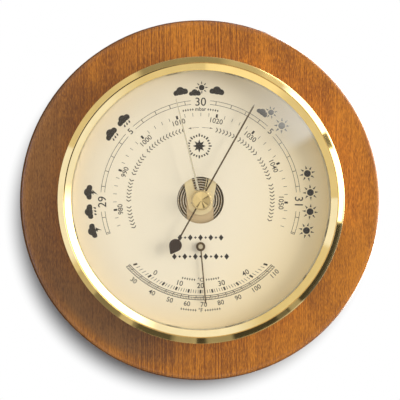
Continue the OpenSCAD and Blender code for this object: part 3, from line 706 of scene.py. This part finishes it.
# The thermometer's scales

CELSIUS_RING = pixels(89.5), pixels(93)
CELSIUS_NUMBERS = pixels(85.5)
FAHRENHEIT_RING = pixels(95.5), pixels(99.5)
FAHRENHEIT_NUMBERS = pixels(104.3)


def celsius_clock(celsius):
    """The clock angle of the thermometer's hand, round its own pivot."""
    return ROOM_CLOCK - CELSIUS_DEGREES * (celsius - ROOM_CELSIUS)


def fahrenheit_clock(fahrenheit):
    return celsius_clock((fahrenheit - 32) / 1.8)


def from_pivot(clock, radius):
    """Where a line from the thermometer's pivot meets a circle round the dial's middle."""
    turn = math.radians(clock)
    along = Vector((math.sin(turn), 0, math.cos(turn)))
    dot = PIVOT.dot(along)
    reach = -dot + math.sqrt(dot * dot - PIVOT.length_squared + radius * radius)
    point = PIVOT + along * reach
    return point.x, point.z


def dial_clock(point):
    return math.degrees(math.atan2(point[0], point[1]))


def print_fahrenheit_scale():
    """Three lines with a stroke at each degree, longer and heavier at each fifth."""
    low, high = FAHRENHEIT_RING
    middle = (low + high) / 2 - 0.2
    line, thin, heavy, last = 0.32, 0.20, 0.36, 0.3
    ends = [celsius_clock(celsius) for celsius in CELSIUS_ENDS]
    reach = [dial_clock(from_pivot(clock, high)) % 360 for clock in reversed(ends)]
    pieces = [printed_arc(r, line, *reach) for r in (low, middle, high)]
    ticks = []
    for fahrenheit in range(23, 114):
        clock = fahrenheit_clock(fahrenheit)
        inner, width = (middle, thin) if fahrenheit % 5 else (low, heavy)
        ticks.append((from_pivot(clock, inner), from_pivot(clock, high), width))
    for clock in ends:
        ticks.append((from_pivot(clock, low), from_pivot(clock, high), last))
    pieces.append(strokes(ticks))
    finish_print(join(pieces), "fahrenheit_scale")


def print_celsius_scale():
    low, high = CELSIUS_RING
    thin, heavy = 0.26, 1.0
    first, last = CELSIUS_ENDS
    ticks = []
    for celsius in range(first, last + 1):
        clock = celsius_clock(celsius)
        width = thin if celsius % 5 else heavy
        ticks.append((from_pivot(clock, low), from_pivot(clock, high), width))
    finish_print(strokes(ticks), "celsius_scale")


def print_degree_numbers():
    numbers = []
    for values, radius, height, to_clock in (
            (range(0, 41, 10), CELSIUS_NUMBERS, 2.85, celsius_clock),
            (range(30, 111, 10), FAHRENHEIT_NUMBERS, 2.65, fahrenheit_clock)):
        for value in values:
            clock = dial_clock(from_pivot(to_clock(value), radius))
            place = on_dial(clock, radius, upright=True)
            numbers.append(numeral(str(value), height, place, 0.025))
    finish_print(join(numbers), "degree_numbers")


# The dial's signs and ornaments

UNIT_SIGNS = [      # sign, clock angle, radius, how far off its dots begin, dots on a side
    ("mbar", 0, pixels(90.8), 5.0, 5),
    ("°C", 180, pixels(79.6), 3.9, 6),
    ("°F", 180, pixels(110), 3.2, 7),
]
TREND_RING = pixels(71.7)
ARROW_RING = pixels(72.5)
STAR_RIGHT, STAR_UP = -0.7, pixels(54.1)
WEATHER_RING = pixels(110)
WEATHER_SIZE = 1.32         # of the signs, which are drawn small
CLOUD = ((0, 0.3, 1.75), (-1.9, -0.35, 1.2), (1.9, -0.25, 1.3))     # (right, up, radius)
CLOUD_FLOOR = -1.35


def lozenge(half_width, half_height):
    return sheet([(0, half_height), (half_width, 0), (0, -half_height), (-half_width, 0)])


def print_unit_marks():
    """Plain unit signs between rows of dots, one for each scale."""
    pitch, drawn_at = 1.55, 50      # degrees from dot to dot, on a ring of this radius
    marks = []
    for sign, clock, radius, reach, dots in UNIT_SIGNS:
        upright = clock == 180
        marks.append(numeral(sign, 2.1, on_dial(clock, radius, upright), 0.03))
        for i in range(dots):
            for side in (-1, 1):
                turn = clock + side * (reach + i * pitch) * drawn_at / radius
                dot = lozenge(0.42, 0.75)
                dot.data.transform(on_dial(turn, radius, upright))
                marks.append(dot)
    finish_print(join(marks), "unit_marks")


def print_trend_chevrons():
    """Small chevrons in groups, which point along the falling and the rising side."""
    half, deep, width = 1.3, 0.9, 0.44
    lines = []
    for side, clock, step, groups in ((-1, 13.5, 2.72, (13, 7, 7, 7)),
                                      (1, 12.5, 2.82, (6, 7, 7, 11))):
        for group in groups:
            for _ in range(group):
                tip = at_clock(side * (clock + math.degrees(deep / TREND_RING)), TREND_RING)
                for r in (TREND_RING - half, TREND_RING + half):
                    lines.append((at_clock(side * clock, r), tip, width))
                clock += step
            clock += step
    finish_print(strokes(lines), "trend_chevrons")


def print_trend_arrows():
    """Two thin arrows at the top that point to the falling and the rising side."""
    shaft, near, far, tip = 0.18, 1.2, 8.0, 9.8
    long, half = 1.7, 0.42
    pieces = []
    for side in (-1, 1):
        pieces.append(printed_arc(ARROW_RING, shaft, side * near, side * far))
        head = sheet([(0, 0), (-side * long, side * half), (-side * long, -side * half)])
        head.data.transform(on_dial(side * tip, ARROW_RING))
        pieces.append(head)
    finish_print(join(pieces), "trend_arrows")


def print_compass_star():
    """A plain compass star in a ring of strokes, below the top of the dial."""
    points, tip, notch = 8, 3.7, 1.9
    star = sheet([at_clock(180 * i / points, notch if i % 2 else tip)
                  for i in range(2 * points)])
    star.data.transform(Matrix.Translation((STAR_RIGHT * MM, PRINT_Y, STAR_UP * MM)))
    inner, outer, longer, width = 5.3, 6.5, 7.0, 0.75
    ring = strokes([(at_clock(a, inner), at_clock(a, outer if a % 45 else longer), width)
                    for a in range(0, 360, 15)])
    ring.data.transform(Matrix.Translation((STAR_RIGHT * MM, 0, STAR_UP * MM)))
    finish_print(join([star, ring]), "compass_star")


def blob(circles, floor, steps=72):
    """The outline round a group of circles that share a middle, cut off flat below."""
    points = []
    for i in range(steps):
        a = 2 * math.pi * i / steps
        ux, uz = math.sin(a), math.cos(a)
        reach = 0.0
        for x, z, r in circles:
            dot = x * ux + z * uz
            square = dot * dot - (x * x + z * z) + r * r
            if square > 0:
                reach = max(reach, dot + math.sqrt(square))
        px, pz = reach * ux, reach * uz
        if pz < floor:
            px, pz = px * floor / pz, floor
        points.append((px, pz))
    return points


def shifted(pieces, x, z):
    for piece in pieces:
        piece.data.transform(Matrix.Translation((x * MM, 0, z * MM)))
    return pieces


def cloud_sign(size=1.0):
    return [sheet([(x * size, z * size) for x, z in blob(CLOUD, CLOUD_FLOOR)])]


def sun_sign(size=1.0):
    disc, foot, tip, half = 1.45 * size, 2.0 * size, 3.5 * size, 11
    pieces = [sheet([at_clock(a, disc) for a in range(0, 360, 15)])]
    for a in range(0, 360, 45):
        pieces.append(sheet([at_clock(a - half, foot), at_clock(a, tip), at_clock(a + half, foot)]))
    return pieces


def drops():
    made = []
    for i in (-1, 0, 1):
        drop = sheet([(0.35, 0.95), (0.42, 0.1), (0.0, -0.45), (-0.42, 0.1)])
        made += shifted([drop], i * 1.35, -2.6)
    return made


def rain_sign():
    return shifted(cloud_sign() + drops(), 0, 0.6)


def storm_sign():
    bolt = sheet([(0.9, 0.9), (-0.9, -1.1), (-0.1, -1.1), (-0.7, -2.9), (1.2, -0.5), (0.3, -0.5)])
    return shifted(cloud_sign() + shifted([bolt], 0, -1.0), 0, 0.8)


def cloud_and_sun_sign():
    return shifted(sun_sign(0.82), 1.5, 1.0) + shifted(cloud_sign(0.8), -1.5, -1.3)


def print_weather_signs():
    """Plain pictures of storm, rain, cloud and sun in five groups round the dial."""
    signs = [
        (-106, storm_sign), (-96, rain_sign), (-86, storm_sign),
        (-53.5, rain_sign), (-44, rain_sign),
        (-10.5, cloud_sign), (-1.2, cloud_and_sun_sign), (8.5, cloud_sign),
        (37, cloud_and_sun_sign), (47.5, sun_sign),
        (76, sun_sign), (86, sun_sign), (96, sun_sign), (106, sun_sign),
    ]
    pieces = []
    for clock, sign in signs:
        made = sign()
        for piece in made:
            piece.data.transform(on_dial(clock, WEATHER_RING) @ Matrix.Scale(WEATHER_SIZE, 4))
        pieces += made
    finish_print(join(pieces), "weather_signs")


def print_centre_ornaments():
    """Two rows of lozenges, in turn large and small, above and below the thermometer's pivot."""
    pieces = []
    for z, count, pitch in ((-21.1, 9, 2.9), (-31.8, 11, 2.95)):
        for i in range(count):
            x = (i - (count - 1) / 2) * pitch
            piece = lozenge(0.75, 0.75) if i % 2 else lozenge(1.35, 1.75)
            piece.data.transform(Matrix.Translation((x * MM, PRINT_Y, z * MM)))
            pieces.append(piece)
    finish_print(join(pieces), "centre_ornaments")


# Turned and bent pieces

def front(node):
    """The height of a node's front over the wall."""
    return -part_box(node)[0].y / MM


def back(node):
    """The height of a node's back over the wall."""
    return -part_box(node)[1].y / MM


def outer_radius(node):
    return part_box(node)[1].x / MM


def spun_bezel():
    """The brass bezel: an upright side, two polished bevels with a line between, a thin lip."""
    foot, crest, seat = back("bezel"), front("bezel"), front("glass")
    side, corner, lip = 1.0, 0.2, 0.26      # the side's thickness, and two radii
    shoulder = crest - (BEZEL_EDGE - RIDGE) * math.tan(math.radians(31))
    line = [(0.16, 0.05), (0.06, 0.12), (-0.10, 0.50),      # (outwards, down) from the ridge
            (-0.25, 0.50), (-0.38, 0.16), (-0.50, 0.13)]
    section = [(BEZEL_EDGE - side, foot), (BEZEL_EDGE, foot)]
    section += arc((BEZEL_EDGE - corner, shoulder - 0.08), corner, 0, 59, 5)
    section += [(RIDGE + outwards, crest - down) for outwards, down in line]
    section += arc((WINDOW + lip, seat + 0.24), lip, 128, 180, 4)
    section += [(WINDOW, seat), (WINDOW + 2.1, seat), (RIDGE - 0.3, crest - 1.5),
                (BEZEL_EDGE - side, shoulder - 0.9)]
    piece = turned(section, 256)
    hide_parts("bezel")
    finish_piece(piece, "spun_bezel", "polished_brass", "case", smooth=22)


def turned_knob():
    """The set knob: a waist, a flared skirt, a rounded rim and a dished face."""
    foot, top, r = back("set_knob"), front("set_knob"), outer_radius("set_knob")
    tall = top - foot
    bore, skirt, rim = 1.3, 0.35, 0.42      # radii
    groove, groove_deep = 0.07, 0.12
    waist, dish = 0.62 * r, top - 1.5
    section = [(bore, foot), (waist, foot), (waist, foot + 0.16 * tall),
               (0.66 * r, foot + 0.26 * tall)]
    section += arc((r - skirt, foot + 0.48 * tall), skirt, -60, 0, 4)
    section += [(r, top - 0.68 - groove), (r - groove_deep, top - 0.68), (r, top - 0.68 + groove)]
    section += arc((r - rim, top - rim), rim, 8, 100, 6)
    section += [(r - 0.85, top - 0.10), (0.55, dish + 0.08), (0.3, dish), (0, dish)]
    section += [(0, foot + 0.5 * tall), (bore, foot + 0.5 * tall)]
    piece = turned(section, 128)
    piece.visible_shadow = False    # the lamp is too broad for it to cast a clear one
    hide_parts("set_knob")
    finish_piece(piece, "turned_knob", "knob_brass", "set_hand_works", smooth=24)


def turned_capsule():
    """The aneroid capsule: two diaphragms with fine round corrugations and a flat rim."""
    low, top, r = back("capsule"), front("capsule"), outer_radius("capsule")
    middle, count = top - 2, 9
    under = middle - 2
    wave = [(0.0, -0.42), (0.38, -0.07), (0.50, -0.05),     # (outwards, up) over one ripple
            (0.735, -0.03), (0.97, -0.05), (1.09, -0.07)]
    ripples = [(RIPPLE_FIRST + i * RIPPLE_PITCH + outwards, top - 0.2 + up)
               for i in range(count) for outwards, up in wave]
    seat = outer_radius("capsule_post") + 0.2       # room for the post to sink into
    floor = top - 0.45
    boss, rim, half_rim = 2.4, 16.7, 0.4
    face = [(boss, top)] + ripples + [(rim, middle + half_rim), (r, middle + half_rim)]
    section = [(0, floor), (seat, floor), (seat, top)] + face
    section += [(x, 2 * middle - h) for x, h in reversed(face[1:])]
    hub, stud, hub_deep = 3, 1.5, 1.2
    section += [(hub, under), (hub, low + hub_deep), (stud, low + hub_deep), (stud, low), (0, low)]
    piece = turned(section, 160)
    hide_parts("capsule")
    finish_piece(piece, "turned_capsule", "nickel_silver", "case", smooth=30)


def bending_leaf():
    """The main spring's leaf: a copy of the CAD leaf, its close points merged and its shading
    smoothed, shown in the leaf's place.
    """
    solid = frame["nodes"]["main_spring"]
    piece = solid.copy()
    piece.data = solid.data.copy()
    bpy.context.scene.collection.objects.link(piece)
    bpy.context.view_layer.update()
    place = solid.matrix_world.copy()
    piece.parent = None
    piece.data.transform(place)
    piece.matrix_world = Matrix.Identity(4)
    pick(piece)
    edit_all((bpy.ops.mesh.remove_doubles, {"threshold": MERGE}))
    bpy.ops.object.shade_smooth_by_angle(angle=math.radians(30))
    piece.name = piece.data.name = "bending_leaf"
    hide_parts("main_spring")
    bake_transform(piece)


# Stage, light and camera

def clear_from_behind(t, front_shader):
    """Ends a material that only the front of its plane shows."""
    behind = t.add("ShaderNodeNewGeometry", out="Backfacing")
    clear = t.add("ShaderNodeBsdfTransparent")
    t.output(t.add("ShaderNodeMixShader", {}, {0: behind, 1: front_shader, 2: clear}))


def stage_plane(name, finish, place):
    """A plane of the stage, 4 m wide, that no reflection shows."""
    deselect()
    bpy.ops.mesh.primitive_plane_add(size=4)
    plane = bpy.context.object
    plane.name = name
    plane.data.transform(place)
    plane.data.materials.append(finish)
    plane.visible_glossy = False


def build_wall():
    """A wall painted dark grey close round the part, most to the lower left, as a painted shadow
    that also takes the real one; plain white farther out.
    """
    made, t = material("white_wall")
    seen = t.add("ShaderNodeLightPath", out="Is Camera Ray")
    for ray in ("Is Glossy Ray", "Is Transmission Ray"):
        seen = seen.math("MAXIMUM", t.add("ShaderNodeLightPath", out=ray))
    # Painted shadow: close round the part, shifted to the lower left, the wall keeps a dark grey
    # paint that reads as shadow even where lit; farther out it is white.
    away = t.radius(-5.5, -9).ramp(90, 106) * seen
    speck = t.noise(t.place(), 0.002, 2.0, 0.5)
    painted_shadow_paint = t.add("ShaderNodeBsdfDiffuse", {}, {
        "Color": t.mix(speck, (0.30, 0.31, 0.33, 1), (0.32, 0.33, 0.35, 1))})
    white = t.add("ShaderNodeEmission", {}, {"Color": (1, 1, 1, 1), "Strength": 1.0})
    clear_from_behind(t, t.add("ShaderNodeMixShader", {}, {0: away, 1: painted_shadow_paint, 2: white}))
    stage_plane("wall", made, Matrix.Translation((0, 0.5 * MM, 0)) @ STAND_UP)


def build_floor():
    """A pale floor far below, which throws some light up."""
    made, t = material("pale_floor")
    speck = t.noise(t.place(), 0.004, 2.0, 0.5)
    clear_from_behind(t, t.add("ShaderNodeBsdfDiffuse", {}, {
        "Color": t.mix(speck, (0.80, 0.80, 0.80, 1), (0.86, 0.86, 0.85, 1)), "Roughness": 0.9}))
    stage_plane("floor", made, Matrix.Translation((0, 0, -1.2)))


def build_lamp():
    """One large soft lamp on the right, a little above and well off to the side."""
    clock, tilt, distance = math.radians(82), math.radians(62), 2.2
    towards = Vector((math.sin(tilt) * math.sin(clock), -math.cos(tilt),
                      math.sin(tilt) * math.cos(clock)))
    deselect()
    bpy.ops.object.light_add(type="AREA", location=towards * distance)
    lamp = bpy.context.object
    lamp.name = "softbox"
    lamp.rotation_euler = towards.to_track_quat("Z", "Y").to_euler()
    lamp.data.shape = "RECTANGLE"
    lamp.data.size, lamp.data.size_y = 1.1, 1.3
    lamp.data.energy = 38
    lamp.data.color = (1.0, 0.95, 0.87)
    lamp.visible_glossy = False


def grey(level):
    return (level, level, level)


COOL = (1.16, 1.33, 2.0)

# What metal reflects: the ring of directions, the clock angles where a card starts and
# ends, how softly it does so on either side, and how bright it is.
CARDS = [
    ("low", -22, 16, 5, 9, grey(0.38)), ("low", 16, 25, 8, 5, grey(0.66)),
    ("low", -61, -40, 8, 8, grey(0.86)), ("low", -113, -68, 6, 1.5, COOL),
    ("low", -133, -122, 1, 2, grey(0.65)), ("low", -181, -133, 1, 1, grey(0.28)),
    ("low", -181, -176, 0.5, 2, grey(0.5)), ("low", -152, -147, 1, 1, grey(0.70)),
    ("low", -169, -155, 1, 1, grey(0.12)), ("low", -177, -172, 2, 2, grey(0.46)),
    ("low", 39, 48, 3, 3, COOL), ("low", 43, 98, 5, 1, grey(5.0)),
    ("low", 62.5, 68.5, 0.6, 1.0, grey(0.30)), ("low", 99.5, 181, 1, 1, grey(0.07)),
    ("low", 134.5, 139, 1, 1, grey(0.48)), ("low", 141, 145, 1, 1, grey(0.20)),
    ("low", 166, 175, 2, 2, grey(0.42)),
    ("high", -10, 130, 18, 25, COOL), ("high", 38, 82, 18, 16, grey(8.0)),
    ("high", -90.5, -71, 0.8, 3, COOL), ("high", -178, -150, 4, 12, grey(1.25)),
    ("behind", -181, 24, 1, 8, grey(0.04)), ("behind", 30, 116, 8, 14, grey(16.0)),
    ("behind", 136, 181, 4, 1, grey(0.08)),
    ("middle", -128, -115, 2, 3, grey(0.22)), ("middle", -112, -62, 3, 6, grey(0.62)),
    ("middle", -58, -48, 3, 3, grey(0.30)), ("middle", -24, -10, 3, 2, grey(0.22)),
    ("middle", 31, 40, 2, 2, grey(0.16)), ("middle", 140, 179, 12, 8, grey(1.05)),
]


def studio_reflection(t, x, y, z):
    """A plain bright studio with the cards in it, for a direction seen in metal."""
    clock = x.math("ARCTAN2", z) * (180 / math.pi)
    tilt = (-y).math("ARCCOSINE") * (180 / math.pi)
    rings = {"middle": tilt.between(30, 50, 2), "low": tilt.between(52, 69, 0.5),
             "high": tilt.between(70, 92, 0.5), "behind": tilt.ramp(92, 100)}
    shine = grey(0.92) + (1,)
    for ring, start, end, before, after, tone in CARDS:
        edge = clock.ramp(start - before, start) * (1 - clock.ramp(end, end + after))
        shine = t.mix(rings[ring] * edge, shine, tone + (1,))
    return t.add("ShaderNodeBackground", {}, {"Color": shine, "Strength": 1.0})


def build_world():
    """Soft room light on matt surfaces, the studio in metal, and white behind everything."""
    world = bpy.data.worlds.new("studio")
    bpy.context.scene.world = world
    t = Tree(world)
    camera = t.add("ShaderNodeLightPath", out="Is Camera Ray")
    glossy, through = camera.beside("Is Glossy Ray"), camera.beside("Is Transmission Ray")
    x, y, z = t.parts(t.add("ShaderNodeTexCoord", out="Generated"))
    reflected = studio_reflection(t, x, y, z)
    plain = t.add("ShaderNodeBackground", {}, {"Color": (1, 1, 1, 1), "Strength": 1.0})
    above = t.mix(z.ramp(-0.9, 0.9), (0.80, 0.79, 0.79, 1), (1.13, 1.13, 1.13, 1))
    room = t.add("ShaderNodeBackground", {}, {"Color": above, "Strength": 0.64})
    shown = t.add("ShaderNodeMixShader", {}, {0: glossy, 1: room, 2: reflected})
    shown = t.add("ShaderNodeMixShader", {}, {
        0: camera.math("MAXIMUM", through), 1: shown, 2: plain})
    t.add("ShaderNodeOutputWorld", {}, {"Surface": shown})


def build_camera():
    """The photograph's view: a touch to the left of straight on, and far enough to look flat."""
    turn, distance = math.radians(-1.7), 6.0
    scale_plane = 0.012         # behind the dial; a pixel there is PIXEL wide
    sensor = 36
    deselect()
    bpy.ops.object.camera_add()
    camera = bpy.context.object
    camera.name = "camera"
    target = Vector((-0.3 * MM, DIAL_Y, 0.1 * MM))
    camera.location = target + Vector((math.sin(turn), -math.cos(turn), 0)) * distance
    camera.rotation_euler = (math.pi / 2, 0, turn)
    camera.data.sensor_width = sensor
    camera.data.lens = sensor * (distance + scale_plane) / (PICTURE * PIXEL * MM)
    camera.data.clip_end = 30
    bpy.context.scene.camera = camera


dress_cad_nodes()
spun_bezel()
turned_knob()
turned_capsule()
bending_leaf()
print_inch_scale()
print_inch_numbers()
print_millibar_scale()
print_millibar_numbers()
print_fahrenheit_scale()
print_celsius_scale()
print_degree_numbers()
print_unit_marks()
print_trend_chevrons()
print_trend_arrows()
print_compass_star()
print_weather_signs()
print_centre_ornaments()
build_wall()
build_floor()
build_lamp()
build_world()
build_camera()
bpy.context.scene.view_settings.view_transform = "Standard"
